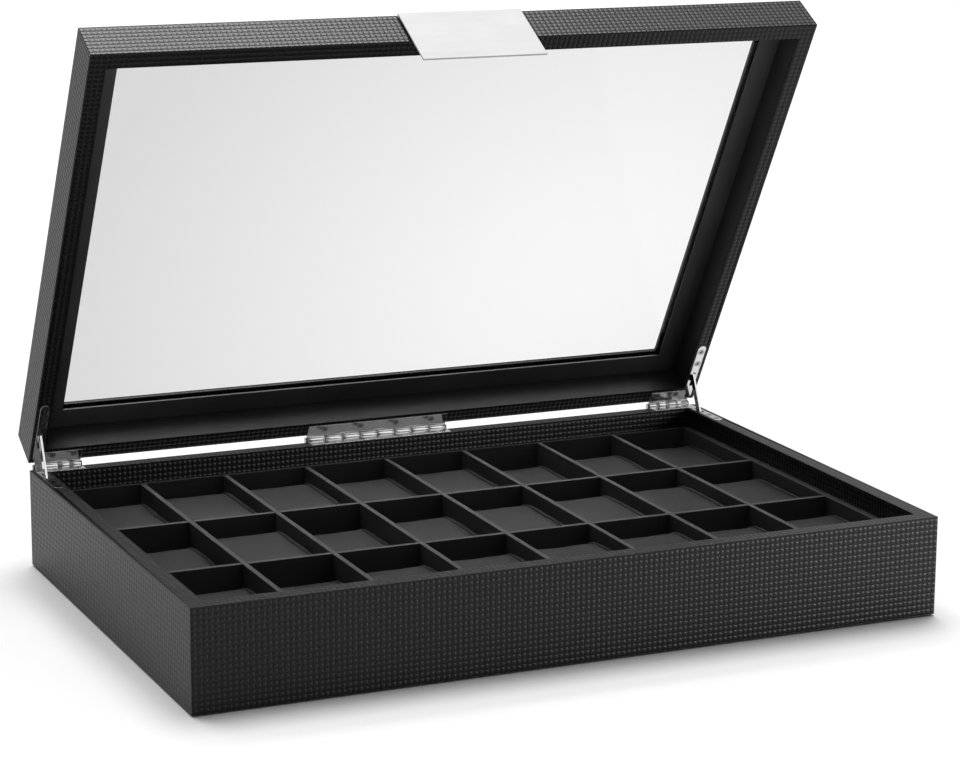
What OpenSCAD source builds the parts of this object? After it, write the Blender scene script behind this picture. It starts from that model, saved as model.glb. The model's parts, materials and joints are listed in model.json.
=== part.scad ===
// Display case for twenty-four watches: a low wooden box wrapped in woven
// leatherette, with a framed glass lid on three hinges and a divided tray of
// lift-out pillows. Units are millimetres. The origin is the centre of the
// box's underside, +X runs to the right, +Y to the hinges and +Z up. The lid
// is drawn propped open at open_angle.

/* [Box] */
// Width of the closed box, left to right
body_w = 470; // [440:1:500]
// Depth of the closed box, front to back
body_d = 315; // [300:1:335]
// Height of the base, underside to rim
base_h = 62; // [58:0.5:70]
// Thickness of the walls of base and lid, with their wrap
wall = 10.5; // [10:0.25:12]
// Thickness of the leatherette wrap
wrap_t = 0.8; // [0.6:0.1:1]
// Thickness of the bottom board
bottom_t = 4; // [3:0.5:5]
// How far the felt foot stays inside the outline
felt_inset = 3; // [2:0.5:6]

/* [Tray] */
// Height of the divider tops above the underside
tray_top = 49.5; // [44:0.5:52]
// Thickness of the dividers
divider_t = 3.3; // [2.5:0.1:4]
// Thickness of the liner strips along the side walls
side_liner_t = 5; // [3:0.1:6]
// Thickness of the liner strips along the front and back walls
end_liner_t = 3; // [2.5:0.1:5]
// Thickness of the tray's floor board
tray_floor_t = 2.5; // [2:0.5:4]
// How far the pillow tops stay below the divider tops
pillow_drop = 5.5; // [3:0.5:10]
// Gap beside a pillow, between its end and the divider
pillow_side_gap = 2.8; // [2:0.1:4]
// Gap before and behind a pillow
pillow_end_gap = 2.5; // [1.5:0.1:5]
// Radius of a pillow's rolled long edges
pillow_roll = 13; // [8:1:16]

/* [Lid] */
// Height of the lid, rim to top
lid_h = 26.5; // [24:0.5:32]
// Angle to which the lid is propped open
open_angle = 60.5; // [45:0.5:75]
// Gap that the rims keep when the lid is shut
lid_gap = 0.3; // [0.2:0.1:0.6]
// Width of the lid's border round the window
window_border = 26; // [24:0.5:32]
// Thickness of the top board, with its wrap
top_t = 5.5; // [5:0.5:6.5]
// Thickness of the glass
glass_t = 2.4; // [2:0.1:2.6]
// Thickness of the retainer that holds the glass in its rebate
retainer_t = 1.2; // [1:0.1:2]
// Thickness of the smooth lining on the lid's inner walls
lining_t = 0.6; // [0.4:0.1:0.8]

/* [Pull plate] */
// Width of the pull plate
plate_w = 80; // [60:1:100]
// Height of the pull plate
plate_h = 46; // [36:1:48]
// Thickness of the pull plate
plate_t = 1.2; // [1:0.1:2.5]
// Thickness of the pad between the plate and the lid
plate_pad_t = 0.8; // [0.8:0.1:2]

/* [Hinges] */
// Thickness of the hinge leaves
leaf_t = 1.6; // [1.2:0.1:2]
// Distance of the hinge axis behind the back face
axis_back = 4; // [3.6:0.1:5]
// Outer diameter of the knuckles
knuckle_d = 5.6; // [5:0.1:6]
// Diameter of the hinge pins
pin_d = 2.4; // [2:0.1:2.8]
// Length of the centre hinge
centre_len = 98; // [80:1:120]
// Reach of the corner hinges along the side walls, from the back face
side_reach = 48; // [46:1:60]
// Length of a stay arm from its rivet to its tip
stay_len = 39; // [38:0.5:42]

/* [Hidden] */
ROW_NAMES = ["front", "middle", "back"];
columns = 8;
rows = 3;
function pillow_name(row, column) = str("pillow_", ROW_NAMES[row], "_", column + 1);
$fn = 48;

// Small overlap that makes cuts clean
eps = 0.01;
felt_t = 1;

// Wooden cores inside the wrap
core_w = body_w - 2 * wrap_t;
core_d = body_d - 2 * wrap_t;
core_t = wall - 2 * wrap_t;
floor_z = felt_t + bottom_t;
inner_w = body_w - 2 * wall;
inner_d = body_d - 2 * wall;

// Tray grid
tray_z = floor_z + tray_floor_t;
tray_w = inner_w - 2 * side_liner_t;
tray_d = inner_d - 2 * end_liner_t;
column_pitch = (tray_w + divider_t) / columns;
row_pitch = (tray_d + divider_t) / rows;
pillow_w = column_pitch - divider_t - 2 * pillow_side_gap;
pillow_d = row_pitch - divider_t - 2 * pillow_end_gap;
pillow_h = tray_top - pillow_drop - tray_z;

// Lid heights with the lid shut
rim_z = base_h + lid_gap;
lid_top = rim_z + lid_h;
board_z = lid_top - top_t;
rebate = glass_t + 0.1;
window_w = body_w - 2 * window_border;
window_d = body_d - 2 * window_border;
glass_lap = 6;
glass_clear = 0.3;

// Hinge axis, midway between the two rims
axis_y = body_d / 2 + axis_back;
axis_z = base_h + lid_gap / 2;
pin_clear = 0.05;
knuckle_gap = 0.3;
leaf_back = 8;
side_leaf_w = 6;
side_leaf_x = body_w / 2 - 5.6;
corner_in = body_w / 2 - 34;
corner_out = body_w / 2 - 4;
corner_seams = [corner_out, corner_out - 15, corner_out - 22.5, corner_in];
centre_knuckles = 8;

// Stay arms: the rivet sits in the lid, the tip runs in a pocket of the side wall
rivet_back = 24.6;
rivet_up = 1.95;
rivet_r = 1;
stay_t = 1.4;
stay_w = 4.6;
stay_lean = 64.7;
stay_clear = 0.4;
ear_t = 0.9;
pocket_y = [axis_y - 31, axis_y - 14.6];
pocket_deep = 42;
stay_slot_y = [axis_y - 28.2, axis_y - 15.2];

// Screws
screw_r = 1.1;
screw_head_r = 2.2;
screw_head_h = 1.3;
screw_len = 9;
corner_screws = [
    [corner_in + 5, body_d / 2 - 5.2], [corner_in + 19, body_d / 2 - 5.2],
    [side_leaf_x, body_d / 2 - 32], [side_leaf_x, body_d / 2 - 42.5]
];
centre_screws = [for (i = [0:3]) [(i - 1.5) * 25, body_d / 2 - 4.5]];

function rivet_place() = [
    axis_y - rivet_back * cos(open_angle) + rivet_up * sin(open_angle),
    axis_z + rivet_back * sin(open_angle) + rivet_up * cos(open_angle)
];
function pillow_place(row, column) = [
    (column - (columns - 1) / 2) * column_pitch, (row - 1) * row_pitch
];

// Turns the shut lid to the angle at which it is propped
module propped() {
    translate([0, axis_y, axis_z])
        rotate([-open_angle, 0, 0])
            translate([0, -axis_y, -axis_z])
                children();
}

// Both sides of the box, from a child drawn on its right
module both_sides() {
    children();
    mirror([1, 0, 0]) children();
}

module block(w, d, z0, z1) {
    translate([-w / 2, -d / 2, z0]) cube([w, d, z1 - z0]);
}

// Upright ring between two rectangles
module ring(w, d, hole_w, hole_d, z0, z1) {
    difference() {
        block(w, d, z0, z1);
        block(hole_w, hole_d, z0 - 1, z1 + 1);
    }
}

// Flat bar with round ends, centred between two Y places, lying in z0 to z1
module round_bar(x, y0, y1, w, z0, z1) {
    translate([x - w / 2, y0 + w / 2, z0]) cube([w, y1 - y0 - w, z1 - z0]);
    translate([x, y0 + w / 2, z0]) cylinder(h = z1 - z0, d = w);
    translate([x, y1 - w / 2, z0]) cylinder(h = z1 - z0, d = w);
}

// ---- Screws and the cuts for them

// Countersunk screw with its head at z = 0, pointing down
module screw_body(extra) {
    translate([0, 0, -screw_head_h])
        cylinder(h = screw_head_h + eps, r1 = screw_r + extra, r2 = screw_head_r + extra);
    translate([0, 0, -screw_len]) cylinder(h = screw_len - screw_head_h + eps, r = screw_r + extra);
}

module screw() {
    difference() {
        screw_body(0);
        translate([-1.4, -0.25, -0.7]) cube([2.8, 0.5, 1]);
        translate([-0.25, -1.4, -0.7]) cube([0.5, 2.8, 1]);
    }
}

// Every hinge screw's place, with its head level with z = 0
module at_hinge_screws() {
    for (p = centre_screws) translate([p[0], p[1], 0]) children();
    both_sides() for (p = corner_screws) translate([p[0], p[1], 0]) children();
}

module base_screw_cuts() {
    translate([0, 0, base_h]) at_hinge_screws() screw_body(0.05);
}

module lid_screw_cuts() {
    translate([0, 0, rim_z]) mirror([0, 0, 1]) at_hinge_screws() screw_body(0.05);
}

// ---- Hinge outlines, drawn with the lid shut

// Leaf plates of all hinges between two heights, grown by an allowance
module corner_plate(z0, z1, extra) {
    round_bar(side_leaf_x, body_d / 2 - side_reach - extra, body_d / 2 - 1,
              side_leaf_w + 2 * extra, z0, z1);
    translate([corner_in - extra, body_d / 2 - leaf_back - extra, z0])
        cube([corner_out - corner_in + 2 * extra, leaf_back + axis_back + extra, z1 - z0]);
}

module centre_plate(z0, z1, extra) {
    translate([-centre_len / 2 - extra, body_d / 2 - leaf_back - extra, z0])
        cube([centre_len + 2 * extra, leaf_back + axis_back + extra, z1 - z0]);
}

// Mortise for every leaf, cut into the base's rim and the lid's rim
module leaf_mortises(z0, z1) {
    both_sides() corner_plate(z0, z1, 0.1);
    centre_plate(z0, z1, 0.1);
}

module knuckle(x0, x1, d) {
    translate([x0, axis_y, axis_z]) rotate([0, 90, 0]) cylinder(h = x1 - x0, d = d);
}

// One leaf with its knuckles. spans are the [x0, x1] of its own knuckles and
// gaps are those of the other leaf's
module leaf(z0, z1, spans, gaps) {
    difference() {
        union() {
            difference() {
                children();
                for (g = gaps)
                    knuckle(g[0] - knuckle_gap / 2, g[1] + knuckle_gap / 2, knuckle_d + 0.8);
            }
            for (s = spans) knuckle(s[0] + knuckle_gap / 2, s[1] - knuckle_gap / 2, knuckle_d);
        }
        knuckle(-body_w, body_w, pin_d + 2 * pin_clear);
    }
}

function corner_span(i) = [corner_seams[i + 1], corner_seams[i]];
function centre_span(i) = [
    -centre_len / 2 + i * centre_len / centre_knuckles,
    -centre_len / 2 + (i + 1) * centre_len / centre_knuckles
];
function centre_spans(first) = [for (i = [first:2:centre_knuckles - 1]) centre_span(i)];

// Slot for a stay arm, through a leaf
module stay_slot(z0, z1) {
    translate([side_leaf_x - stay_t / 2 - stay_clear, stay_slot_y[0], z0])
        cube([stay_t + 2 * stay_clear, stay_slot_y[1] - stay_slot_y[0], z1 - z0]);
}

// Pocket below the slot, inside a side wall of the base
module stay_pocket() {
    translate([side_leaf_x - 1.5, pocket_y[0], base_h - pocket_deep])
        cube([3, pocket_y[1] - pocket_y[0], pocket_deep + 1]);
}

// Recess above the lid leaf for the rivet, its ears and the arm
module rivet_recess() {
    translate([side_leaf_x - 2.8, axis_y - rivet_back - 5, rim_z - 1])
        cube([5.6, 17, 9]);
}

// ---- Base

module base_cuts() {
    leaf_mortises(base_h - leaf_t - 0.1, base_h + 1);
    both_sides() stay_pocket();
    base_screw_cuts();
}

module bottom_felt() {
    color("dimgray")
        block(body_w - 2 * felt_inset, body_d - 2 * felt_inset, 0, felt_t);
}

module bottom_panel() {
    color("black") block(core_w, core_d, felt_t, floor_z);
}

module base_long_wall(side) {
    color("dimgray")
        difference() {
            translate([-core_w / 2, side * (core_d - core_t) / 2 - core_t / 2, floor_z])
                cube([core_w, core_t, base_h - wrap_t - floor_z]);
            if (side > 0) base_cuts();
        }
}

module base_side_wall(side) {
    color("dimgray")
        difference() {
            translate([side * (core_w - core_t) / 2 - core_t / 2, core_t - core_d / 2, floor_z])
                cube([core_t, core_d - 2 * core_t, base_h - wrap_t - floor_z]);
            base_cuts();
        }
}

module base_wrap() {
    color("#2b2b2d")
        difference() {
            ring(body_w, body_d, inner_w, inner_d, felt_t, base_h);
            ring(core_w, core_d, core_w - 2 * core_t, core_d - 2 * core_t, 0, base_h - wrap_t);
            block(core_w, core_d, 0, floor_z);
            base_cuts();
        }
}

// ---- Tray

module tray_floor() {
    color("#1d1d1f") block(inner_w, inner_d, floor_z, tray_z);
}

// Four strips that line the walls, the side ones butting the long ones
module tray_liner() {
    gap = 0.1;
    color("#262628")
        for (side = [-1, 1]) {
            translate([-inner_w / 2, side * (inner_d - end_liner_t) / 2 - end_liner_t / 2, tray_z])
                cube([inner_w, end_liner_t, tray_top - tray_z]);
            translate([side * (inner_w - side_liner_t) / 2 - side_liner_t / 2,
                       gap - tray_d / 2, tray_z])
                cube([side_liner_t, tray_d - 2 * gap, tray_top - tray_z]);
        }
}

// Long dividers are notched from above and short ones from below, half way
module column_dividers() {
    half = (tray_top + tray_z) / 2;
    color("#262628")
        difference() {
            for (i = [1:columns - 1])
                translate([(i - columns / 2) * column_pitch - divider_t / 2,
                           -tray_d / 2, tray_z])
                    cube([divider_t, tray_d, tray_top - tray_z]);
            for (side = [-1, 1])
                translate([-inner_w / 2, side * row_pitch / 2 - divider_t / 2, tray_z - 1])
                    cube([inner_w, divider_t, half - tray_z + 1]);
        }
}

module row_divider(side) {
    half = (tray_top + tray_z) / 2;
    color("#262628")
        difference() {
            translate([-tray_w / 2, side * row_pitch / 2 - divider_t / 2, tray_z])
                cube([tray_w, divider_t, tray_top - tray_z]);
            for (i = [1:columns - 1])
                translate([(i - columns / 2) * column_pitch - divider_t / 2,
                           -inner_d / 2, half])
                    cube([divider_t, inner_d, tray_top]);
        }
}

// Rounded block, with its long edges rolled
module pillow(row, column) {
    p = pillow_place(row, column);
    color("#39393c")
        translate([p[0] - pillow_w / 2, p[1], tray_z + pillow_h / 2])
            rotate([90, 0, 90])
                linear_extrude(pillow_w) {
                    square([pillow_d - 2 * pillow_roll, pillow_h], center = true);
                    square([pillow_d, pillow_h - 2 * pillow_roll], center = true);
                    for (a = [-1, 1], b = [-1, 1])
                        translate([a * (pillow_d / 2 - pillow_roll), b * (pillow_h / 2 - pillow_roll)])
                            circle(r = pillow_roll);
                }
}

// ---- Lid, drawn shut inside propped()

module lid_cuts() {
    leaf_mortises(rim_z - 1, rim_z + leaf_t + 0.1);
    both_sides() rivet_recess();
    lid_screw_cuts();
}

module lid_long_rail(side) {
    color("dimgray")
        propped()
            difference() {
                translate([-core_w / 2, side * (core_d - core_t) / 2 - core_t / 2, rim_z + wrap_t])
                    cube([core_w, core_t, board_z - rim_z - wrap_t]);
                if (side > 0) lid_cuts();
            }
}

module lid_side_rail(side) {
    color("dimgray")
        propped()
            difference() {
                translate([side * (core_w - core_t) / 2 - core_t / 2, core_t - core_d / 2,
                           rim_z + wrap_t])
                    cube([core_t, core_d - 2 * core_t, board_z - rim_z - wrap_t]);
                lid_cuts();
            }
}

module lid_top_frame() {
    color("dimgray")
        propped()
            difference() {
                ring(core_w, core_d, window_w + 2 * wrap_t, window_d + 2 * wrap_t,
                     board_z, lid_top - wrap_t);
                block(window_w + 2 * glass_lap, window_d + 2 * glass_lap,
                      board_z - 1, board_z + rebate);
            }
}

// Outside, rim, top and window edge in one skin
module lid_wrap() {
    color("#2b2b2d")
        propped()
            difference() {
                block(body_w, body_d, rim_z, lid_top);
                block(inner_w, inner_d, rim_z - 1, board_z);
                block(window_w, window_d, board_z - 1, lid_top + 1);
                ring(core_w, core_d, core_w - 2 * core_t, core_d - 2 * core_t,
                     rim_z + wrap_t, board_z + eps);
                block(inner_w + 2 * wrap_t, inner_d + 2 * wrap_t, rim_z + wrap_t, board_z + eps);
                ring(core_w, core_d, window_w + 2 * wrap_t, window_d + 2 * wrap_t,
                     board_z, lid_top - wrap_t);
                block(window_w + 2 * glass_lap, window_d + 2 * glass_lap,
                      board_z - 1, board_z + rebate);
                lid_cuts();
            }
}

module lid_lining() {
    color("#1f1f21")
        propped()
            difference() {
                ring(inner_w + 2 * wrap_t, inner_d + 2 * wrap_t,
                     inner_w + 2 * wrap_t - 2 * lining_t, inner_d + 2 * wrap_t - 2 * lining_t,
                     rim_z + wrap_t, board_z - retainer_t);
                lid_cuts();
            }
}

module glass_pane() {
    lap = glass_lap - glass_clear;
    color("lightcyan", 0.35)
        propped()
            block(window_w + 2 * lap, window_d + 2 * lap, board_z, board_z + glass_t);
}

module glass_retainer() {
    color("#1f1f21")
        propped()
            ring(inner_w + 2 * wrap_t, inner_d + 2 * wrap_t, window_w + 3, window_d + 3,
                 board_z - retainer_t, board_z);
}

// Smooth plate that overhangs the rim, for opening the lid
module pull_plate() {
    color("gainsboro")
        propped()
            translate([-plate_w / 2, -body_d / 2 - plate_pad_t - plate_t, lid_top - 0.5 - plate_h])
                cube([plate_w, plate_t, plate_h]);
}

module plate_pad() {
    color("#1f1f21")
        propped()
            translate([3 - plate_w / 2, -body_d / 2 - plate_pad_t, rim_z + 2])
                cube([plate_w - 6, plate_pad_t, lid_h - 5]);
}

// ---- Hinges and stays

module centre_hinge_base_leaf() {
    color("silver")
        difference() {
            leaf(base_h - leaf_t, base_h, centre_spans(1), centre_spans(0))
                centre_plate(base_h - leaf_t, base_h, 0);
            base_screw_cuts();
        }
}

module centre_hinge_lid_leaf() {
    color("silver")
        propped()
            difference() {
                leaf(rim_z, rim_z + leaf_t, centre_spans(0), centre_spans(1))
                    centre_plate(rim_z, rim_z + leaf_t, 0);
                lid_screw_cuts();
            }
}

module corner_base_leaf() {
    difference() {
        leaf(base_h - leaf_t, base_h, [corner_span(0), corner_span(2)], [corner_span(1)])
            corner_plate(base_h - leaf_t, base_h, 0);
        stay_slot(base_h - leaf_t - 1, base_h + 1);
        base_screw_cuts();
    }
}

// Leaf with two ears that hold the stay's rivet inside the lid
module corner_lid_leaf() {
    ear_x = stay_t / 2 + 0.2;
    difference() {
        union() {
            leaf(rim_z, rim_z + leaf_t, [corner_span(1)], [corner_span(0), corner_span(2)])
                corner_plate(rim_z, rim_z + leaf_t, 0);
            for (side = [-1, 1])
                translate([side_leaf_x + side * (ear_x + ear_t / 2) - ear_t / 2,
                           axis_y - rivet_back - 2.6, rim_z + eps])
                    cube([ear_t, 5.2, 5]);
        }
        translate([side_leaf_x - ear_x, axis_y - rivet_back - 3.4, rim_z - 1])
            cube([2 * ear_x, 12, leaf_t + 2]);
        translate([side_leaf_x, axis_y - rivet_back, axis_z + rivet_up])
            rotate([0, 90, 0]) cylinder(h = 10, r = rivet_r, center = true);
        lid_screw_cuts();
    }
}

module right_hinge_base_leaf() {
    color("silver") corner_base_leaf();
}

module left_hinge_base_leaf() {
    color("silver") mirror([1, 0, 0]) corner_base_leaf();
}

module right_hinge_lid_leaf() {
    color("silver") propped() corner_lid_leaf();
}

module left_hinge_lid_leaf() {
    color("silver") propped() mirror([1, 0, 0]) corner_lid_leaf();
}

module pin(x0, x1) {
    knuckle(x0, x1, pin_d);
    knuckle(x0 - 0.8, x0, pin_d + 1.2);
    knuckle(x1, x1 + 0.8, pin_d + 1.2);
}

module hinge_pins() {
    color("silver") {
        pin(-centre_len / 2, centre_len / 2);
        both_sides() pin(corner_in, corner_out);
    }
}

// Flat arm with an eye on the rivet and a hooked tip below the rim
module stay_arm() {
    place = rivet_place();
    color("silver")
        translate([side_leaf_x, place[0], place[1]])
            rotate([stay_lean - 90, 0, 0])
                rotate([0, 90, 0])
                    difference() {
                        union() {
                            cylinder(h = stay_t, d = stay_w, center = true);
                            translate([0, -stay_w / 2, -stay_t / 2])
                                cube([stay_len - stay_w / 2, stay_w, stay_t]);
                            translate([stay_len - stay_w / 2, 0, 0])
                                cylinder(h = stay_t, d = stay_w, center = true);
                        }
                        cylinder(h = 5, r = rivet_r + pin_clear, center = true);
                    }
}

module right_stay_arm() {
    stay_arm();
}

module left_stay_arm() {
    mirror([1, 0, 0]) stay_arm();
}

module stay_rivets() {
    len = stay_t + 0.4 + 2 * ear_t;
    color("silver")
        propped()
            both_sides()
                translate([side_leaf_x, axis_y - rivet_back, axis_z + rivet_up])
                    rotate([0, 90, 0]) cylinder(h = len, r = rivet_r, center = true);
}

module base_hinge_screws() {
    color("silver") translate([0, 0, base_h]) at_hinge_screws() screw();
}

module lid_hinge_screws() {
    color("silver")
        propped()
            translate([0, 0, rim_z]) mirror([0, 0, 1]) at_hinge_screws() screw();
}

bottom_felt();
bottom_panel();
base_long_wall(-1);  // base_front_wall
base_long_wall(1);  // base_back_wall
base_side_wall(-1);  // base_left_wall
base_side_wall(1);  // base_right_wall
base_wrap();
tray_floor();
tray_liner();
column_dividers();
row_divider(-1);  // row_divider_front
row_divider(1);  // row_divider_back
for (r = [0:rows - 1], c = [0:columns - 1])
    pillow(r, c);
lid_long_rail(-1);  // lid_front_rail
lid_long_rail(1);  // lid_back_rail
lid_side_rail(-1);  // lid_left_rail
lid_side_rail(1);  // lid_right_rail
lid_top_frame();
lid_wrap();
lid_lining();
glass_pane();
glass_retainer();
pull_plate();
plate_pad();
centre_hinge_base_leaf();
centre_hinge_lid_leaf();
left_hinge_base_leaf();
left_hinge_lid_leaf();
right_hinge_base_leaf();
right_hinge_lid_leaf();
hinge_pins();
left_stay_arm();
right_stay_arm();
stay_rivets();
base_hinge_screws();
lid_hinge_screws();
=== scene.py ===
"""Watch box with twenty-four pillows: its fabrics, finishes and studio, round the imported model.

Every size here is in metres, in the model's own frame: the origin is the centre of the underside,
+X runs to the right, +Y to the hinges and +Z up. The lid stands propped open at rest.
"""

import json
import math
import random

import bmesh
import bpy
from bpy.props import FloatProperty, FloatVectorProperty, IntProperty, PointerProperty
from mathutils import Matrix, Vector, noise
from mathutils.bvhtree import BVHTree


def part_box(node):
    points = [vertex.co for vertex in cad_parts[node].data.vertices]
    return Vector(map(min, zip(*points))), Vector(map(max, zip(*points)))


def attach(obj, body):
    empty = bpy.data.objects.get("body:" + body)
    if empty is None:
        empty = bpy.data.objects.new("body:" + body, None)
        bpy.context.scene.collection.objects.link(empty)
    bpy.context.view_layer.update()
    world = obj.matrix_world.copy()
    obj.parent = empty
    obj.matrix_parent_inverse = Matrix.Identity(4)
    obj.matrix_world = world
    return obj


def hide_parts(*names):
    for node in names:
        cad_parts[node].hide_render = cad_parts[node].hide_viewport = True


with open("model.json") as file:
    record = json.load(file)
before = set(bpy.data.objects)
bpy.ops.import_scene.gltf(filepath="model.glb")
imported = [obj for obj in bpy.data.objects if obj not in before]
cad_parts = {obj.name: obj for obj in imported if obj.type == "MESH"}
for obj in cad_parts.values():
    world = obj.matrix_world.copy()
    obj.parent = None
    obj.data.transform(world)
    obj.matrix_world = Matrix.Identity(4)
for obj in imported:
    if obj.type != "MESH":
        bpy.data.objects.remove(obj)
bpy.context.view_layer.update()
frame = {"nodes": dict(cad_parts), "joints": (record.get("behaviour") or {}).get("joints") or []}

bl_info = {
    "name": "Watch Box",
    "version": (1, 0, 0),
    "blender": (4, 5, 0),
    "location": "View3D > Sidebar > Watch Box",
    "description": "Dresses a watch box in woven leatherette, pillows, glass and chrome",
    "category": "Add Mesh",
}

WRAP_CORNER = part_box("base_wrap")[0]
ROWS = ("front", "middle", "back")
COLUMNS = 8
PILLOWS = [f"pillow_{row}_{column}" for row in ROWS for column in range(1, COLUMNS + 1)]
LID_HINGE = next(joint for joint in frame["joints"] if joint["name"] == "lid_hinge")
LEAVES = [
    f"{place}_hinge_{half}_leaf"
    for place in ("centre", "left", "right") for half in ("base", "lid")
]
STAY_ARMS = ["left_stay_arm", "right_stay_arm"]
MM = 0.001

# The pad at a pillow's end, from its seam outwards: how far out each ring lies, in cap depths,
# and how far it is drawn in, in millimetres.
CAP_PROFILE = (
    (-0.4, 1.4), (0.05, 0.7), (0.4, 0.6), (0.75, 0.8), (1.0, 1.4), (1.05, 3.5), (1.07, 8.0)
)


# ---- Settings that a user would change


def length(name, description, default):
    return FloatProperty(
        name=name, description=description, default=default, min=0, precision=5, unit="LENGTH"
    )


def share(name, description, default, most=1.0):
    return FloatProperty(
        name=name, description=description, default=default, min=0, max=most, subtype="FACTOR"
    )


def angle(name, description, default):
    return FloatProperty(
        name=name, description=description, default=math.radians(default), unit="ROTATION"
    )


def colour(name, description, default):
    return FloatVectorProperty(
        name=name, description=description, default=default, size=3, min=0, max=1, subtype="COLOR"
    )


class WatchBoxSizes(bpy.types.PropertyGroup):
    """Sizes of the covering, the edges and the pillows"""

    weave_pitch: length("Weave pitch", "Distance from one strand of the weave to the next", 0.00331)
    weave_height: length("Weave height", "How far the crowns stand above the gaps", 0.00020)
    wrap_edge: length("Wrap edge", "Radius of the covering's folded edges", 0.0006)
    divider_edge: length("Divider edge", "Radius of the divider tops", 0.0004)
    liner_edge: length("Liner edge", "Radius of the thin liners' edges", 0.00025)
    metal_edge: length("Metal edge", "Radius of the plate's and the leaves' edges", 0.0003)
    pillow_voxel: length("Pillow voxel", "Cell size of the pillows' cloth mesh", 0.0035)
    pillow_start: length("Pillow start", "How much smaller a pillow is before filling", 0.002)
    pillow_swell: length("Pillow swell", "Furthest that filling may push the cover", 0.0024)
    pillow_settle: length("Pillow settle", "How much lower a well worn pillow's top lies", 0.006)
    cap_depth: length("End cap depth", "Thickness of the pad at each end of a pillow", 0.0026)
    piping_radius: length("Piping radius", "Radius of the piping round the pillow ends", 0.00055)
    pillow_frames: IntProperty(
        name="Pillow frames", description="Steps of the cloth simulation", default=20, min=2, max=60
    )


class WatchBoxColours(bpy.types.PropertyGroup):
    """Colours of the finishes"""

    weave_top: colour("Weave top", "Crowns of the woven strands", (0.0060, 0.0060, 0.0060))
    weave_ground: colour("Weave ground", "Cloth between the crowns", (0.0040, 0.0040, 0.0040))
    # Painted shade: the gap colour darkens the notches where four strands meet, standing in for the
    # shade that falls there.
    weave_gap_shade: colour("Weave gap", "Notches where four strands meet", (0.0014, 0.0014, 0.0014))
    tray: colour("Tray", "Smooth leatherette of dividers and liners", (0.029, 0.029, 0.029))
    # Painted shade: the dividers' tops take this slightly darker colour, standing in for how the
    # light falls on them.
    tray_top_shade: colour("Tray edge", "Folded tops of the dividers", (0.026, 0.026, 0.026))
    pillow: colour("Pillow", "Leatherette of the pillows", (0.011, 0.011, 0.011))
    lining: colour("Lining", "Matte lining inside the lid", (0.014, 0.014, 0.014))
    # Painted light: the retainer is lighter than the other leatherettes, standing in for the bright
    # band along the glass.
    retainer: colour("Retainer", "Strip that holds the glass", (0.045, 0.045, 0.045))
    felt: colour("Felt", "Felt under the box and behind the pull plate", (0.020, 0.020, 0.020))
    board: colour("Board", "Black-dyed boards inside the covering", (0.020, 0.019, 0.018))
    glass: colour("Glass", "Tint of the glass where it is clearest", (0.91, 0.91, 0.91))
    # Painted shade: the glass darkens to this colour towards its edges.
    glass_painted_shade: colour("Glass edge", "Tint of the glass where it is densest", (0.63, 0.63, 0.63))
    chrome: colour("Chrome", "Polished hinges and stays", (0.64, 0.64, 0.64))
    screw: colour("Screws", "Darker steel of screws, rivets and pins", (0.32, 0.32, 0.32))
    satin: colour("Satin metal", "Brushed pull plate", (0.66, 0.66, 0.66))
    floor: colour("Floor", "Studio floor", (0.90, 0.90, 0.90))


class WatchBoxStudio(bpy.types.PropertyGroup):
    """Camera and lights"""

    camera_place: FloatVectorProperty(
        name="Camera place", description="Where the camera stands",
        default=(-0.7267, -1.6520, 0.5496), subtype="TRANSLATION",
    )
    camera_heading: angle("Heading", "Turn of the camera from +Y towards +X", 25.54)
    camera_fall: angle("Fall", "How far the camera looks down", 13.151)
    camera_roll: angle("Roll", "Tilt of the camera about its own axis", 0.745)
    camera_lens: FloatProperty(
        name="Lens", description="Focal length on a 36 mm sensor", default=114.22, unit="CAMERA"
    )
    camera_shift: FloatVectorProperty(
        name="Shift", description="Shift of the lens, in picture widths", size=2,
        default=(-0.0915, 0.0074),
    )
    sky_dark: share("Dark sky", "Strength of the room's light at the front left", 0.11, 4.0)
    sky_light: share("Light sky", "Strength of the room's light at the back right", 0.62, 4.0)
    overhead: share("Overhead", "Strength of the broad light above", 2.92, 20.0)
    side: share("Side", "Power of the light at the front right, in watts", 5.5, 200.0)
    over_lid: share("Over lid", "Power of the flagged light on the lid, in watts", 8.8, 50.0)
    metal_light: share("Metal", "Power of the flagged light on the metal, in watts", 3.0, 50.0)


GROUPS = (WatchBoxSizes, WatchBoxColours, WatchBoxStudio)


def sizes():
    return bpy.context.scene.watch_box_sizes


def colours():
    return bpy.context.scene.watch_box_colours


def studio():
    return bpy.context.scene.watch_box_studio


# ---- Shader building


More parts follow.
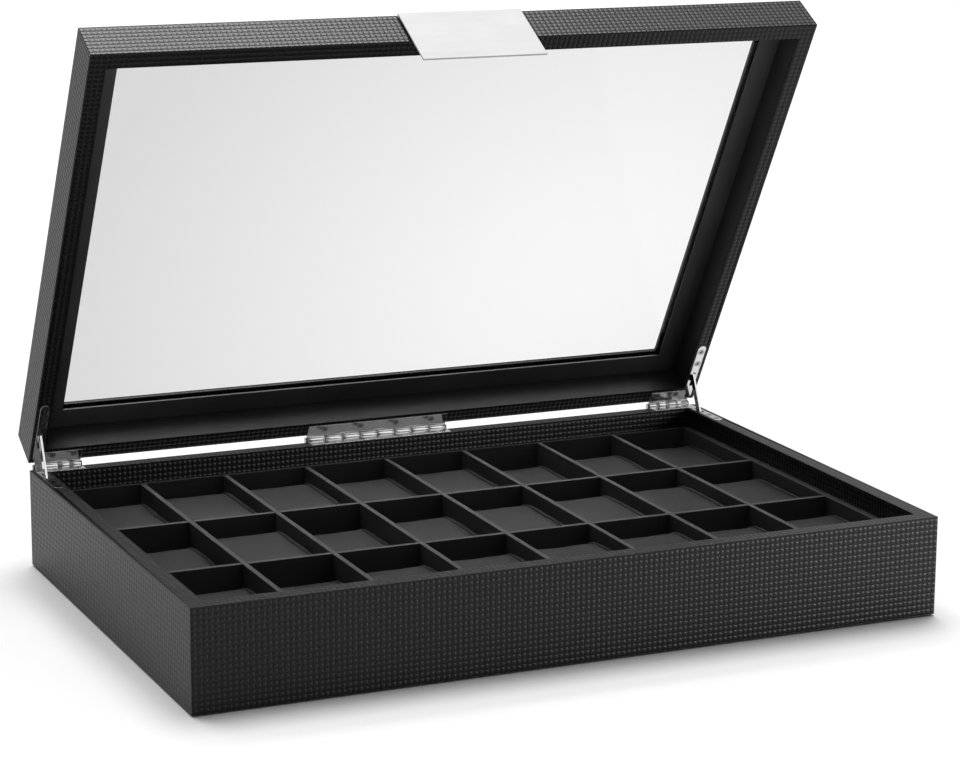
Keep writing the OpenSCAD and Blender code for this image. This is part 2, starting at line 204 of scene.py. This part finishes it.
class Finish:
    """A node material with a Principled surface, and short ways to add nodes to it."""

    def __init__(self, name):
        self.material = bpy.data.materials.new(name)
        self.material.use_nodes = True
        self.nodes = self.material.node_tree.nodes
        self.links = self.material.node_tree.links
        self.surface = self.nodes["Principled BSDF"]
        self.place = self.nodes.new("ShaderNodeTexCoord")

    def put(self, socket, value):
        """Joins value to the socket if it is a socket, and else sets it."""
        if isinstance(value, bpy.types.NodeSocket):
            self.links.new(value, socket)
        elif hasattr(value, "__len__") and len(value) == 3 and socket.type == "RGBA":
            socket.default_value = (*value, 1)
        else:
            socket.default_value = value

    def add(self, kind, settings=None, **inputs):
        node = self.nodes.new(kind)
        for key, value in (settings or {}).items():
            setattr(node, key, value)
        for key, value in inputs.items():
            self.put(node.inputs[key.replace("_", " ")], value)
        return node

    def math(self, operation, *values):
        node = self.nodes.new("ShaderNodeMath")
        node.operation = operation
        for socket, value in zip(node.inputs, values):
            self.put(socket, value)
        return node.outputs[0]

    def blend(self, factor, first, second):
        """Colour that runs from first to second."""
        node = self.nodes.new("ShaderNodeMix")
        node.data_type = "RGBA"
        self.put(node.inputs["Factor"], factor)
        for socket, value in ((node.inputs[6], first), (node.inputs[7], second)):
            self.put(socket, value)
        return node.outputs[2]

    def between(self, value, low, high, start=0.0, end=1.0):
        """Value from low to high, mapped to start to end and held there."""
        node = self.nodes.new("ShaderNodeMapRange")
        for socket, item in zip(node.inputs, (value, low, high, start, end)):
            self.put(socket, item)
        return node.outputs[0]

    def noise(self, scale, detail=3.0, stretch=(1, 1, 1), roughness=0.55):
        """Noise over the piece, scale in cells a metre."""
        mapping = self.add("ShaderNodeMapping", Vector=self.place.outputs["Object"], Scale=stretch)
        node = self.add(
            "ShaderNodeTexNoise", Vector=mapping.outputs[0], Scale=scale, Detail=detail,
            Roughness=roughness,
        )
        return node.outputs["Fac"]

    def cells(self, scale):
        """Pebbled cells, as leather grain has: distance to the nearest edge."""
        node = self.add(
            "ShaderNodeTexVoronoi", {"feature": "DISTANCE_TO_EDGE"},
            Vector=self.place.outputs["Object"], Scale=scale,
        )
        return node.outputs["Distance"]

    def bump(self, height, distance, strength=1.0, normal=None):
        node = self.add("ShaderNodeBump", Height=height, Distance=distance, Strength=strength)
        if normal is not None:
            self.links.new(normal, node.inputs["Normal"])
        return node.outputs[0]

    def wear(self, **sockets):
        """Sets the Principled surface's sockets."""
        for key, value in sockets.items():
            self.put(self.surface.inputs[key.replace("_", " ")], value)
        return self.material


def face_coordinates(finish, tilt):
    """Distances along a face of the box, whichever way it looks.

    The lid's faces are first turned shut by tilt.
    """
    point, normal = finish.place.outputs["Object"], finish.place.outputs["Normal"]
    if tilt:
        hinge = Vector(LID_HINGE["pos_m"])
        settings = {"rotation_type": "X_AXIS"}
        point = finish.add(
            "ShaderNodeVectorRotate", settings, Vector=point, Center=hinge, Angle=tilt
        ).outputs[0]
        normal = finish.add(
            "ShaderNodeVectorRotate", settings, Vector=normal, Angle=tilt
        ).outputs[0]
    x, y, z = finish.add("ShaderNodeSeparateXYZ", Vector=point).outputs
    nx, ny, nz = (
        finish.math("ABSOLUTE", part)
        for part in finish.add("ShaderNodeSeparateXYZ", Vector=normal).outputs
    )
    sideways = finish.math("GREATER_THAN", nx, finish.math("MAXIMUM", ny, nz))
    upwards = finish.math("GREATER_THAN", nz, finish.math("MAXIMUM", nx, ny))
    pick = lambda choice, no, yes: finish.math(
        "MULTIPLY_ADD", choice, finish.math("SUBTRACT", yes, no), no
    )
    return pick(sideways, x, y), pick(upwards, z, y)


def woven_crowns(finish, u, v):
    """Height of the crowns, one in each cell of the weave: 1 at its middle, 0 at its rim.

    Each crown is drawn out along the strand on top, which changes from one cell to the next.
    """
    cell = finish.math("ADD", finish.math("FLOOR", u), finish.math("FLOOR", v))
    odd = finish.math("PINGPONG", cell, 1.0)
    along, across = 0.46 * 1.12, 0.46 * 0.90
    reach = []
    for part, even_radius, odd_radius in ((u, along, across), (v, across, along)):
        off_centre = finish.math("SUBTRACT", finish.math("FRACT", part), 0.5)
        radius = finish.between(odd, 0.0, 1.0, even_radius, odd_radius)
        share_out = finish.math("ABSOLUTE", finish.math("DIVIDE", off_centre, radius))
        reach.append(finish.math("POWER", share_out, 2.0))
    return finish.math("SUBTRACT", 1.0, finish.math("ADD", *reach))


def woven_leatherette(name, tilt=0.0):
    """Embossed plain weave with a soft vinyl sheen: a crown wherever one strand crosses another,
    and painted shade in the notches between the crowns.
    """
    finish = Finish(name)
    pitch = sizes().weave_pitch
    u, v = face_coordinates(finish, tilt)
    u, v = (
        finish.math("DIVIDE", finish.math("SUBTRACT", part, start), pitch)
        for part, start in ((u, WRAP_CORNER.x), (v, WRAP_CORNER.y))
    )
    weave = woven_crowns(finish, u, v)
    crown = finish.between(weave, 0.0, 0.75)
    ground = finish.between(weave, -0.9, -0.1)
    tone = finish.noise(9.0, detail=2.0)
    grain = finish.noise(2600.0, detail=2.0)
    # Painted shade: the lowest parts of the weave, the notches, take the darker gap colour.
    cloth = finish.blend(ground, colours().weave_gap_shade, colours().weave_ground)
    base = finish.blend(crown, cloth, colours().weave_top)
    uneven = finish.blend(finish.between(tone, 0.35, 0.7), (0.86, 0.86, 0.86), (1.1, 1.1, 1.1))
    tinted = finish.add("ShaderNodeMix", {"data_type": "RGBA", "blend_type": "MULTIPLY"})
    tinted.inputs["Factor"].default_value = 1.0
    finish.put(tinted.inputs[6], base)
    finish.put(tinted.inputs[7], uneven)
    polished = finish.math("ADD", crown, finish.math("MULTIPLY", grain, 0.5))
    rough = finish.between(polished, 0.2, 1.4, 0.46, 0.34)
    height = finish.math("MULTIPLY_ADD", ground, 0.35, crown)
    fine = finish.bump(grain, 0.00003, 0.5)
    return finish.wear(
        Base_Color=tinted.outputs[2], Roughness=rough, Specular_IOR_Level=0.22,
        Normal=finish.bump(height, sizes().weave_height, 1.0, fine),
    )


def smooth_leatherette(name, base, edge=None, edge_height=None, roughness=0.5, specular=0.3):
    """Thin pebbled leatherette. Near edge_height and above, it takes the edge colour: painted shade
    on the tops, for how the light falls there.
    """
    finish = Finish(name)
    pebble = finish.cells(950.0)
    tone = finish.noise(22.0, detail=3.0)
    grain = finish.noise(3200.0)
    dark = [part * 0.8 for part in base]
    light = [part * 1.18 for part in base]
    shade = finish.blend(finish.between(tone, 0.3, 0.7), dark, light)
    # Painted shade: near the top the colour turns to the edge colour, mottled by tone, for how the
    # light falls on the tops.
    if edge is not None:
        place = finish.place.outputs["Object"]
        height = finish.add("ShaderNodeSeparateXYZ", Vector=place).outputs["Z"]
        folded = finish.between(height, edge_height - 1.6 * MM, edge_height - 0.2 * MM)
        folded = finish.math("MULTIPLY", folded, finish.between(tone, 0.25, 0.6, 0.7, 1.0))
        shade = finish.blend(folded, shade, edge)
    rough = finish.between(grain, 0.3, 0.7, roughness - 0.05, roughness + 0.07)
    fine = finish.bump(grain, 0.00003, 0.4)
    return finish.wear(
        Base_Color=shade, Roughness=rough, Specular_IOR_Level=specular,
        Normal=finish.bump(finish.between(pebble, 0.0, 0.35), 0.00005, 0.5, fine),
    )


def felt_cloth():
    """Short matted fibres."""
    finish = Finish("felt")
    fibres = finish.noise(1900.0, detail=6.0, roughness=0.7)
    patches = finish.noise(60.0)
    base = colours().felt
    shade = finish.blend(
        finish.between(finish.math("ADD", fibres, patches), 0.7, 1.3),
        [part * 0.6 for part in base], [part * 1.6 for part in base],
    )
    return finish.wear(
        Base_Color=shade, Roughness=finish.between(fibres, 0.3, 0.7, 0.88, 1.0),
        Specular_IOR_Level=0.1, Sheen_Weight=0.3,
        Normal=finish.bump(fibres, 0.0003, 0.8),
    )


def wooden_board():
    """Black-dyed pressed board with long fibres."""
    finish = Finish("board")
    fibres = finish.noise(420.0, detail=5.0, stretch=(1, 0.15, 1))
    flakes = finish.cells(260.0)
    base = colours().board
    shade = finish.blend(
        finish.between(finish.math("ADD", fibres, flakes), 0.4, 1.0),
        [part * 0.7 for part in base], [min(1, part * 1.25) for part in base],
    )
    return finish.wear(
        Base_Color=shade, Roughness=finish.between(fibres, 0.3, 0.7, 0.65, 0.85),
        Normal=finish.bump(fibres, 0.0001, 0.5),
    )


def metal(name, base, roughness, stretch, scratch):
    """Metal with fine scratches drawn out along one direction and faint handling marks."""
    finish = Finish(name)
    scratches = finish.noise(2200.0, detail=4.0, stretch=stretch)
    marks = finish.noise(45.0, detail=4.0)
    shade = finish.blend(finish.between(marks, 0.35, 0.75), [part * 0.95 for part in base], base)
    low, high = roughness
    wear = finish.math(
        "ADD", finish.math("MULTIPLY", scratches, 0.6), finish.math("MULTIPLY", marks, 0.4)
    )
    rough = finish.between(wear, 0.35, 0.65, low, high)
    return finish.wear(
        Base_Color=shade, Metallic=1.0, Roughness=rough,
        Normal=finish.bump(scratches, scratch, 0.35),
    )


def clear_glass():
    """Glass with painted shade: its tint darkens away from its least shaded point, low and to the
    right.

    Lamps' rays pass it, as they do a thin real pane.
    """
    finish = Finish("glass")
    smears = finish.noise(7.0, detail=5.0, stretch=(1, 0.5, 0.5))
    low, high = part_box("glass_pane")
    up_the_pane, reach = 0.15, 0.36
    least_shaded = low.lerp(high, up_the_pane)
    least_shaded.x = 0.6 * high.x
    away = finish.add(
        "ShaderNodeVectorMath", {"operation": "DISTANCE"}, Vector=finish.place.outputs["Object"]
    )
    away.inputs[1].default_value = least_shaded
    # Painted shade: the tint darkens with distance from the least shaded point.
    tint_and_shade = finish.blend(
        finish.between(away.outputs["Value"], 0.0, reach), colours().glass, colours().glass_painted_shade
    )
    finish.wear(
        Base_Color=tint_and_shade, IOR=1.16, Transmission_Weight=1.0,
        Roughness=finish.between(smears, 0.45, 0.8, 0.0, 0.012),
        Normal=finish.bump(smears, 0.00002, 0.1),
    )
    rays = finish.add("ShaderNodeLightPath")
    see_through = finish.add("ShaderNodeBsdfTransparent")
    swap = finish.add("ShaderNodeMixShader")
    finish.links.new(rays.outputs["Is Shadow Ray"], swap.inputs[0])
    finish.links.new(finish.surface.outputs[0], swap.inputs[1])
    finish.links.new(see_through.outputs[0], swap.inputs[2])
    finish.links.new(swap.outputs[0], finish.nodes["Material Output"].inputs["Surface"])
    return finish.material


# ---- Dressing CAD pieces


def dress(node, material):
    """Gives a CAD piece its material, in the object's own slots."""
    piece = frame["nodes"][node]
    if not piece.material_slots:
        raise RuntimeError(f"{node} has no material slot")
    for slot in piece.material_slots:
        slot.link = "OBJECT"
        slot.material = material
    return piece


def round_edges(piece, radius, segments=3, limit=35):
    """Joins the split corners of a CAD mesh and rounds its edges."""
    weld = piece.modifiers.new("Join corners", "WELD")
    weld.merge_threshold = 0.00001
    bevel = piece.modifiers.new("Round edges", "BEVEL")
    bevel.width = radius
    bevel.segments = segments
    bevel.limit_method = "ANGLE"
    bevel.angle_limit = math.radians(limit)
    bevel.use_clamp_overlap = False
    bevel.harden_normals = True
    return piece


# ---- Pillows


def rolled_outline(depth, height, roll, arc_steps=6):
    """Points round a block's side view, in Y and Z, with its four edges rolled."""
    points = []
    for quarter in range(4):
        turn = quarter * math.pi / 2
        side = 1 if quarter in (0, 3) else -1
        rise = 1 if quarter in (0, 1) else -1
        centre = Vector((side * (depth / 2 - roll), rise * (height / 2 - roll)))
        for step in range(arc_steps + 1):
            a = turn + step / arc_steps * math.pi / 2
            points.append(centre + roll * Vector((math.cos(a), math.sin(a))))
    return points


def mesh_from(build):
    """A mesh made by build in an empty bmesh, smooth shaded."""
    made = bmesh.new()
    build(made)
    bmesh.ops.recalc_face_normals(made, faces=made.faces)
    for face in made.faces:
        face.smooth = True
    mesh = bpy.data.meshes.new("part")
    made.to_mesh(mesh)
    made.free()
    return mesh


def loft(made, rings, closed_ends=True):
    """Skins a list of rings of points, with a face over each end."""
    loops = [[made.verts.new(point) for point in ring] for ring in rings]
    count = len(loops[0])
    for first, second in zip(loops, loops[1:]):
        for i in range(count):
            j = (i + 1) % count
            made.faces.new((first[i], first[j], second[j], second[i]))
    if closed_ends:
        made.faces.new(loops[0][::-1])
        made.faces.new(loops[-1])


def evaluated_copy(piece):
    """The piece's mesh with its modifiers applied."""
    graph = bpy.context.evaluated_depsgraph_get()
    return bpy.data.meshes.new_from_object(piece.evaluated_get(graph))


def filled_cover(seed, size):
    """A pillow's cover round its filling, about the origin: cloth blown up from a smaller block."""
    width, depth, height = size
    start = sizes().pillow_start
    chance = random.Random(seed)
    roll = 0.44 * (height - start)
    outline = rolled_outline(depth - 1.4 * start, height - start, roll)
    steps, spare = 8, 10 * MM
    rings = [
        [Vector(((width + spare) * (i / steps - 0.5), y, z)) for y, z in outline]
        for i in range(steps + 1)
    ]
    block = bpy.data.objects.new("cover", mesh_from(lambda made: loft(made, rings)))
    bpy.context.scene.collection.objects.link(block)
    remesh = block.modifiers.new("Even cells", "REMESH")
    remesh.mode = "VOXEL"
    remesh.voxel_size = sizes().pillow_voxel
    cells = evaluated_copy(block)
    block.modifiers.clear()
    block.data = cells
    for vertex in cells.vertices:
        vertex.co += 0.0002 * noise.noise_vector(vertex.co * 60 + Vector((seed, 0, 0)))
    resting = [vertex.co.copy() for vertex in cells.vertices]
    blow_up(block, resting, pressure=4.0 + 0.6 * chance.random(), height=height)
    smooth = block.modifiers.new("Smooth", "SUBSURF")
    smooth.levels = smooth.render_levels = 1
    cover = evaluated_copy(block)
    bpy.data.objects.remove(block)
    cut_to_length(cover, width)
    return cover


def cut_to_length(cover, width):
    """Cuts both ends off square, where the end pads are sewn on."""
    made = bmesh.new()
    made.from_mesh(cover)
    for side in (-1, 1):
        bmesh.ops.bisect_plane(
            made, geom=made.verts[:] + made.edges[:] + made.faces[:], dist=1e-7,
            plane_co=(side * width / 2, 0, 0), plane_no=(side, 0, 0), clear_outer=True,
        )
    made.to_mesh(cover)
    made.free()


def blow_up(block, resting, pressure, height):
    """Runs the cloth and takes its result, held to the swell the settings allow."""
    cloth = block.modifiers.new("Cloth", "CLOTH").settings
    cloth.use_pressure = True
    cloth.uniform_pressure_force = pressure
    cloth.effector_weights.gravity = 0
    cloth.quality = 5
    cloth.mass = 0.3
    scene = bpy.context.scene
    for number in range(1, sizes().pillow_frames + 1):
        scene.frame_set(number)
    swollen = evaluated_copy(block)
    block.modifiers.clear()
    most, kept_along = sizes().pillow_swell, 0.15
    for vertex, rest, moved in zip(block.data.vertices, resting, swollen.vertices):
        step = moved.co - rest
        step.x *= kept_along
        if step.length > most:
            step *= most / step.length
        vertex.co = rest + step
        vertex.co.z = max(vertex.co.z, -height / 2)
    scene.frame_set(1)


def seam_loop(cover, x, reach, steps=64):
    """Points of the cover round the X axis at one place along it."""
    tree = BVHTree.FromPolygons(
        [vertex.co for vertex in cover.vertices], [face.vertices for face in cover.polygons]
    )
    loop = []
    for i in range(steps):
        a = 2 * math.pi * i / steps
        out = Vector((0, reach * math.cos(a), 0.5 * reach * math.sin(a)))
        hit = tree.ray_cast(Vector((x, 0, 0)) + out, -out)[0]
        if hit is None:
            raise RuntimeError("a pillow's cover has no seam line")
        loop.append(hit)
    return loop


def inset(loop, amount, x):
    """The loop moved to x and drawn in by amount towards its middle."""
    depth, height = (max(abs(point[axis]) for point in loop) for axis in (1, 2))
    return [
        Vector((x, point.y * (1 - amount / depth), point.z * (1 - amount / height)))
        for point in loop
    ]


def piping(made, loop, radius, sides=8):
    """A closed round cord along a loop that lies across X."""
    count = len(loop)
    middle = sum(loop, Vector()) / count
    rings = []
    for i, point in enumerate(loop):
        along = (loop[(i + 1) % count] - loop[i - 1]).normalized()
        side = Vector((1, 0, 0))
        out = along.cross(side).normalized()
        if out.dot(point - middle) < 0:
            out.negate()
        rings.append([
            point + radius * (math.cos(a) * side + math.sin(a) * out)
            for a in (2 * math.pi * k / sides for k in range(sides))
        ])
    loft(made, rings + rings[:1], closed_ends=False)
    bmesh.ops.remove_doubles(made, verts=made.verts, dist=1e-7)


def end_trim(made, cover, side, size):
    """The piping and the padded cap at one end of a pillow."""
    width, depth, _ = size
    radius, cap = sizes().piping_radius, sizes().cap_depth
    seam = seam_loop(cover, side * (width / 2 - 0.9 * MM), depth)
    for out, drawn_in in ((0.1, -0.05), (0.75, 0.15)):
        piping(made, inset(seam, drawn_in * MM, side * (width / 2 + out * cap)), radius)
    rings = [
        inset(seam, drawn_in * MM, side * (width / 2 + out * cap)) for out, drawn_in in CAP_PROFILE
    ]
    loft(made, rings)


def pillow_mesh(cover, name, centre, size, flipped, settled):
    """One pillow where it lies: the cover with its trims and small creases.

    It is turned end for end if flipped, and its top lies lower by settled.
    """
    made = bmesh.new()
    made.from_mesh(cover)
    trims = bmesh.new()
    for side in (-1, 1):
        end_trim(trims, cover, side, size)
    bmesh.ops.recalc_face_normals(trims, faces=trims.faces)
    spare = bpy.data.meshes.new("trims")
    trims.to_mesh(spare)
    trims.free()
    made.from_mesh(spare)
    if flipped:
        bmesh.ops.rotate(made, verts=made.verts, matrix=Matrix.Rotation(math.pi, 3, "Z"))
    offset, crease = Vector((PILLOWS.index(name) * 3.7, 1.3, 0)), 0.12 * MM
    for vertex in made.verts:
        wave = noise.noise(Vector((vertex.co.x * 30, vertex.co.y * 45, 0)) + offset)
        if vertex.co.z > 0:
            vertex.co.z += crease * wave
        vertex.co.z -= settled * max(0.0, vertex.co.z / size[2] + 0.5)
        vertex.co += centre
    for face in made.faces:
        face.smooth = True
    mesh = bpy.data.meshes.new(name)
    made.to_mesh(mesh)
    made.free()
    return mesh


def make_pillows(material, variants=3):
    """All the pillows, each on its own body. Each takes one of a few blown-up covers."""
    low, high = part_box(PILLOWS[0])
    proud = 0.05 * MM
    caps = Vector((2 * (sizes().cap_depth * CAP_PROFILE[-1][0] - proud), 0, 0))
    size = tuple(high - low - caps)
    covers = [filled_cover(seed + 1, size) for seed in range(variants)]
    chance, use = random.Random(24), random.Random(896693)
    for name in PILLOWS:
        low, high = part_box(name)
        cover = covers[chance.randrange(variants)]
        settled = sizes().pillow_settle * use.random() ** 2
        mesh = pillow_mesh(cover, name, (low + high) / 2, size, chance.random() < 0.5, settled)
        mesh.materials.append(material)
        piece = bpy.data.objects.new(name + "_cushion", mesh)
        bpy.context.scene.collection.objects.link(piece)
        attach(piece, name)
        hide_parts(name)


# ---- Studio


def make_floor():
    """A pale sheet much wider than the view, so that it fills the picture."""
    reach = 40.0
    mesh = mesh_from(
        lambda made: bmesh.ops.create_grid(made, x_segments=4, y_segments=4, size=reach)
    )
    floor = bpy.data.objects.new("floor", mesh)
    bpy.context.scene.collection.objects.link(floor)
    finish = Finish("floor")
    paper = finish.noise(900.0, detail=4.0)
    base = colours().floor
    shade = finish.blend(finish.between(paper, 0.3, 0.7), [part * 0.99 for part in base], base)
    floor.data.materials.append(finish.wear(
        Base_Color=shade, Roughness=0.8, Specular_IOR_Level=0.1,
        Normal=finish.bump(paper, 0.00005, 0.2),
    ))


def make_light(name, kind, place, target, lights=(), **settings):
    """A lamp. Where lights names pieces, it falls on those alone, as a flagged studio lamp does."""
    data = bpy.data.lights.new(name, kind)
    for key, value in settings.items():
        setattr(data, key, value)
    light = bpy.data.objects.new(name, data)
    light.location = place
    light.rotation_euler = (Vector(target) - Vector(place)).to_track_quat("-Z", "Y").to_euler()
    bpy.context.scene.collection.objects.link(light)
    if lights:
        lit = bpy.data.collections.new(name + "_lights")
        for node in lights:
            lit.objects.link(frame["nodes"][node])
        light.light_linking.receiver_collection = lit


def make_sky():
    """A dim room, lighter towards its back right."""
    world = bpy.data.worlds.new("Studio")
    bpy.context.scene.world = world
    world.use_nodes = True
    nodes, links = world.node_tree.nodes, world.node_tree.links
    place = nodes.new("ShaderNodeTexCoord")
    facing = nodes.new("ShaderNodeVectorMath")
    facing.operation = "DOT_PRODUCT"
    lighter_side = Vector((0.6, 0.7, 0.2))
    facing.inputs[1].default_value = lighter_side.normalized()
    links.new(place.outputs["Generated"], facing.inputs[0])
    strength = nodes.new("ShaderNodeMapRange")
    limits = (-1.0, 1.0, studio().sky_dark, studio().sky_light)
    for socket, value in zip(strength.inputs[1:], limits):
        socket.default_value = value
    links.new(facing.outputs["Value"], strength.inputs[0])
    links.new(strength.outputs[0], nodes["Background"].inputs["Strength"])
    nodes["Background"].inputs["Color"].default_value = (1, 1, 1, 1)


def make_lights():
    """A broad light above the box, and three flagged lamps for its lid, its front and its metal."""
    make_sky()
    make_light(
        "overhead", "SUN", place=(0.16, 0.72, 1.84), target=(0, 0, 0),
        energy=studio().overhead, angle=math.radians(46),
    )
    make_light(
        "over_lid", "AREA", place=(-0.02, 0.74, 1.09), target=(-0.30, 0.35, 0.21),
        energy=studio().over_lid, shape="RECTANGLE", size=0.9, size_y=0.5, lights=("lid_wrap",),
    )
    make_light(
        "front_right", "AREA", place=(0.66, -0.66, 0.16), target=(0.1, -0.1, 0.05),
        energy=studio().side, shape="DISK", size=0.3, lights=("base_wrap",),
    )
    make_light(
        "before_hinges", "AREA", place=(0.55, -1.0, 0.75), target=(0.0, 0.16, 0.06),
        energy=studio().metal_light, shape="RECTANGLE", size=1.1, size_y=0.8,
        lights=LEAVES + STAY_ARMS,
    )


def make_camera():
    """The camera, placed and turned by the studio's settings."""
    data = bpy.data.cameras.new("Camera")
    data.lens = studio().camera_lens
    data.sensor_width = 36.0
    data.shift_x, data.shift_y = studio().camera_shift
    data.clip_start, data.clip_end = 0.05, 200.0
    camera = bpy.data.objects.new("Camera", data)
    heading, fall = studio().camera_heading, studio().camera_fall
    forward = Vector((
        math.sin(heading) * math.cos(fall), math.cos(heading) * math.cos(fall), -math.sin(fall)
    ))
    upright = forward.to_track_quat("-Z", "Y").to_matrix()
    camera.rotation_euler = (upright @ Matrix.Rotation(studio().camera_roll, 3, "Z")).to_euler()
    camera.location = studio().camera_place
    bpy.context.scene.collection.objects.link(camera)
    bpy.context.scene.camera = camera


# ---- Operators


class WATCHBOX_OT_stage(bpy.types.Operator):
    """Make the studio floor, the lights and the camera"""

    bl_idname = "watchbox.stage"
    bl_label = "Studio"

    def execute(self, context):
        context.scene.view_settings.view_transform = "Standard"
        make_floor()
        make_lights()
        make_camera()
        return {"FINISHED"}


class WATCHBOX_OT_wraps(bpy.types.Operator):
    """Cover the base, the lid and the frame round the glass in woven leatherette"""

    bl_idname = "watchbox.wraps"
    bl_label = "Woven Covering"

    def execute(self, context):
        tilt = -math.radians(LID_HINGE["range_deg"][0])
        base_cloth = woven_leatherette("woven_base", 0.0)
        lid_cloth = woven_leatherette("woven_lid", tilt)
        for node, cloth in (("base_wrap", base_cloth), ("lid_wrap", lid_cloth)):
            round_edges(dress(node, cloth), sizes().wrap_edge)
        dress("lid_top_frame", lid_cloth)
        return {"FINISHED"}


class WATCHBOX_OT_boards(bpy.types.Operator):
    """Finish the boards inside the covering"""

    bl_idname = "watchbox.boards"
    bl_label = "Boards"

    def execute(self, context):
        board = wooden_board()
        sides = ("front", "back", "left", "right")
        walls = [f"base_{side}_wall" for side in sides] + [f"lid_{side}_rail" for side in sides]
        for node in walls + ["bottom_panel"]:
            dress(node, board)
        return {"FINISHED"}


class WATCHBOX_OT_felts(bpy.types.Operator):
    """Finish the felt under the box and behind the pull plate"""

    bl_idname = "watchbox.felts"
    bl_label = "Felts"

    def execute(self, context):
        felt = felt_cloth()
        for node in ("bottom_felt", "plate_pad"):
            round_edges(dress(node, felt), sizes().liner_edge)
        return {"FINISHED"}


class WATCHBOX_OT_tray(bpy.types.Operator):
    """Cover the tray's floor, liners and dividers in smooth leatherette"""

    bl_idname = "watchbox.tray"
    bl_label = "Tray"

    def execute(self, context):
        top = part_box("column_dividers")[1].z
        # The divider tops get painted shade near their top height.
        covering = smooth_leatherette("tray_leatherette", colours().tray, colours().tray_top_shade, top)
        dress("tray_floor", covering)
        for node in ("tray_liner", "column_dividers", "row_divider_front", "row_divider_back"):
            round_edges(dress(node, covering), sizes().divider_edge, segments=4)
        return {"FINISHED"}


class WATCHBOX_OT_pillows(bpy.types.Operator):
    """Make the twenty-four filled pillows"""

    bl_idname = "watchbox.pillows"
    bl_label = "Pillows"

    def execute(self, context):
        make_pillows(smooth_leatherette("pillow_leatherette", colours().pillow, specular=0.15))
        return {"FINISHED"}


class WATCHBOX_OT_lining(bpy.types.Operator):
    """Line the lid's inner walls and finish the strip that holds the glass"""

    bl_idname = "watchbox.lining"
    bl_label = "Lid Lining"

    def execute(self, context):
        lining = smooth_leatherette("lid_lining", colours().lining, roughness=0.6, specular=0.25)
        # Painted light: the strip's lighter colour stands in for the light that the band along the
        # glass catches.
        strip = smooth_leatherette("retainer", colours().retainer, roughness=0.55)
        for node, covering in (("lid_lining", lining), ("glass_retainer", strip)):
            round_edges(dress(node, covering), sizes().liner_edge / 2, segments=2)
        return {"FINISHED"}


class WATCHBOX_OT_glass(bpy.types.Operator):
    """Finish the glass pane"""

    bl_idname = "watchbox.glass"
    bl_label = "Glass"

    def execute(self, context):
        dress("glass_pane", clear_glass())
        return {"FINISHED"}


class WATCHBOX_OT_plate(bpy.types.Operator):
    """Brush the pull plate"""

    bl_idname = "watchbox.plate"
    bl_label = "Pull Plate"

    def execute(self, context):
        satin = metal("satin_metal", colours().satin, (0.72, 0.80), (0.02, 1, 1), 0.00002)
        round_edges(dress("pull_plate", satin), sizes().metal_edge)
        return {"FINISHED"}


class WATCHBOX_OT_metalwork(bpy.types.Operator):
    """Polish the hinges, stays, rivets and screws"""

    bl_idname = "watchbox.metalwork"
    bl_label = "Hinges and Stays"

    def execute(self, context):
        chrome = metal("polished_chrome", colours().chrome, (0.08, 0.15), (0.15, 1, 1), 0.000004)
        steel = metal("screw_steel", colours().screw, (0.14, 0.22), (1, 1, 1), 0.000004)
        for node in LEAVES + STAY_ARMS:
            round_edges(dress(node, chrome), sizes().metal_edge / 2, segments=2)
        for node in ("hinge_pins", "stay_rivets", "base_hinge_screws", "lid_hinge_screws"):
            dress(node, steel)
        return {"FINISHED"}


OPERATORS = (
    WATCHBOX_OT_stage,
    WATCHBOX_OT_boards,
    WATCHBOX_OT_wraps,
    WATCHBOX_OT_felts,
    WATCHBOX_OT_tray,
    WATCHBOX_OT_pillows,
    WATCHBOX_OT_lining,
    WATCHBOX_OT_glass,
    WATCHBOX_OT_plate,
    WATCHBOX_OT_metalwork,
)


class WATCHBOX_PT_panel(bpy.types.Panel):
    """Lists the watch box's settings and operators"""

    bl_idname = "WATCHBOX_PT_panel"
    bl_label = "Watch Box"
    bl_space_type = "VIEW_3D"
    bl_region_type = "UI"
    bl_category = "Watch Box"

    def draw(self, context):
        for operator in OPERATORS:
            self.layout.operator(operator.bl_idname)
        for group in (sizes(), colours(), studio()):
            box = self.layout.box()
            for name in group.__annotations__:
                box.prop(group, name)


def register():
    for item in (*GROUPS, *OPERATORS, WATCHBOX_PT_panel):
        bpy.utils.register_class(item)
    bpy.types.Scene.watch_box_sizes = PointerProperty(type=WatchBoxSizes)
    bpy.types.Scene.watch_box_colours = PointerProperty(type=WatchBoxColours)
    bpy.types.Scene.watch_box_studio = PointerProperty(type=WatchBoxStudio)


def unregister():
    for name in ("watch_box_sizes", "watch_box_colours", "watch_box_studio"):
        delattr(bpy.types.Scene, name)
    for item in reversed((*GROUPS, *OPERATORS, WATCHBOX_PT_panel)):
        bpy.utils.unregister_class(item)


def main():
    register()
    for operator in OPERATORS:
        getattr(bpy.ops.watchbox, operator.bl_idname.split(".")[1])()


if __name__ == "__main__":
    main()
